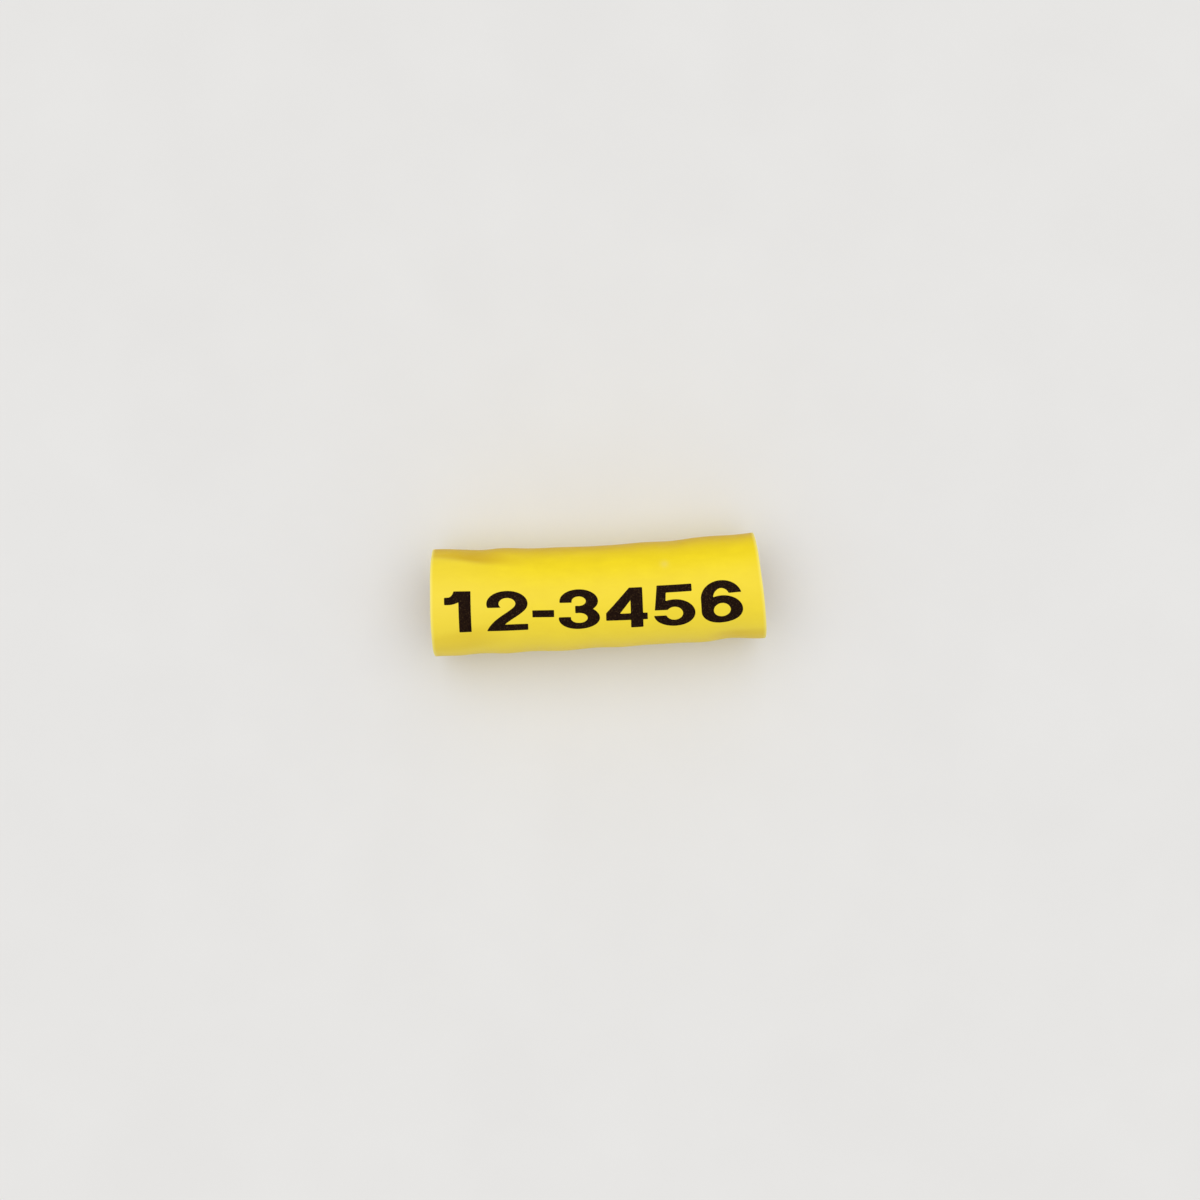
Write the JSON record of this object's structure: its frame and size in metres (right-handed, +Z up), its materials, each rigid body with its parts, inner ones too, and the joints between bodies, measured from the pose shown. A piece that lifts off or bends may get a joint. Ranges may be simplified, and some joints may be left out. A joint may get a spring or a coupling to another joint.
{
  "type": "heat-shrink cable marker sleeve",
  "caption": "Thin round heat-shrink sleeve with a gentle bend and flared mouths, shrunk on a cable to carry its printed number.",
  "frame": {"origin": "on the bore's axis at mid-length, where the sleeve's straight half meets its bent half", "axes": "+X along the straight half of the bore in the print's reading direction, +Y towards the inside of the bend and the top of the print, +Z up through the printed face"},
  "size_m": [0.0514, 0.0175, 0.0166],
  "materials": {
    "sleeve_film": "satin yellow polyolefin film, slightly rippled where it has shrunk",
    "print_ink": "flat warm black thermal-transfer print"
  },
  "bodies": {
    "root": {"marker_sleeve": "sleeve_film"}
  },
  "joints": []
}
